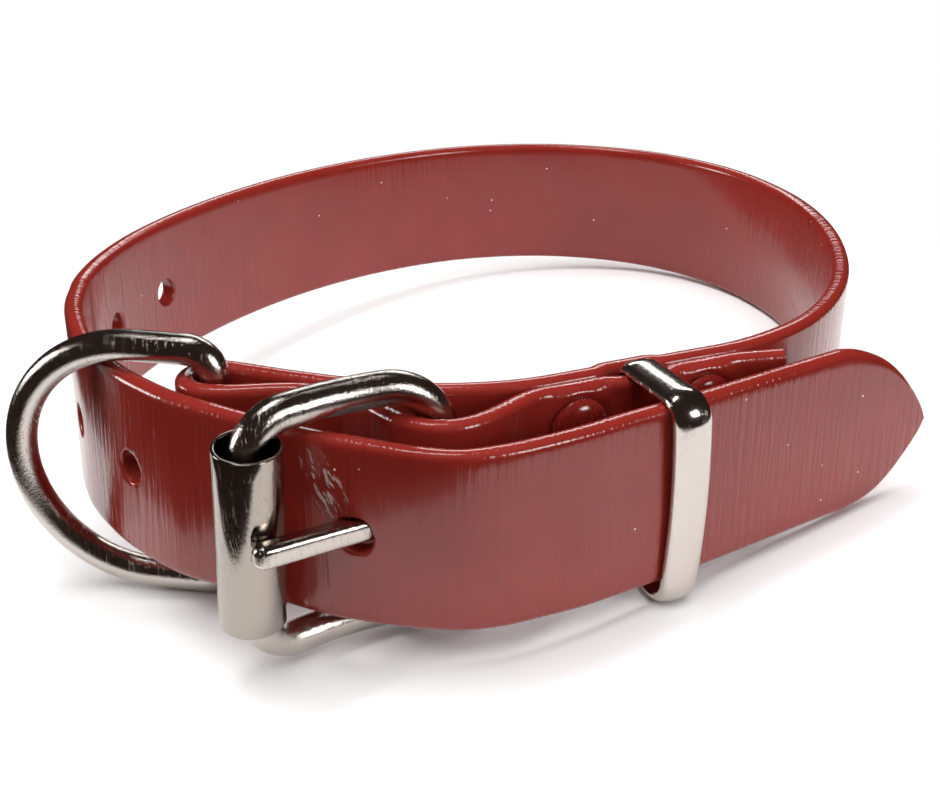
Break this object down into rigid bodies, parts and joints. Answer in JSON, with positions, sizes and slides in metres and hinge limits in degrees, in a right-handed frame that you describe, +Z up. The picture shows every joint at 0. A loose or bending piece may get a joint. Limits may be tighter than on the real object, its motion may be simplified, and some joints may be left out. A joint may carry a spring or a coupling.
{
  "type": "dog collar",
  "caption": "Brick red coated webbing dog collar, buckled into a loop, with a nickel roller buckle, D-ring, metal keeper loop and four red domed rivets.",
  "frame": {"origin": "centre of the collar's footprint, on the surface that it lies on", "axes": "+Z up, -Y towards the front with the buckle, +X towards the strap's pointed tip"},
  "size_m": [0.1304, 0.1508, 0.0395],
  "materials": {
    "coated_webbing": "gloss",
    "nickel_wire": "polished",
    "nickel_sheet": "polished",
    "red_enamel": "gloss"
  },
  "bodies": {
    "collar": {"strap": "coated_webbing", "buckle_frame": "nickel_wire", "prong": "nickel_wire", "keeper": "nickel_sheet", "rivet_1": "red_enamel", "rivet_2": "red_enamel", "rivet_3": "red_enamel", "rivet_4": "red_enamel"},
    "roller": {"roller": "nickel_sheet"},
    "ring": {"d_ring": "nickel_wire"}
  },
  "joints": [
    {"name": "roller_spin", "type": "hinge", "parent": "collar", "child": "roller", "pos_m": [-0.02744, -0.06839, 0.02112], "axis": [0.1238, -0.0515, 0.991], "continuous": true},
    {"name": "ring_swing", "type": "hinge", "parent": "collar", "child": "ring", "pos_m": [-0.03474, -0.04813, 0.01918], "axis": [0.0771, 0.0106, 0.997], "range_deg": [0, 85]}
  ]
}
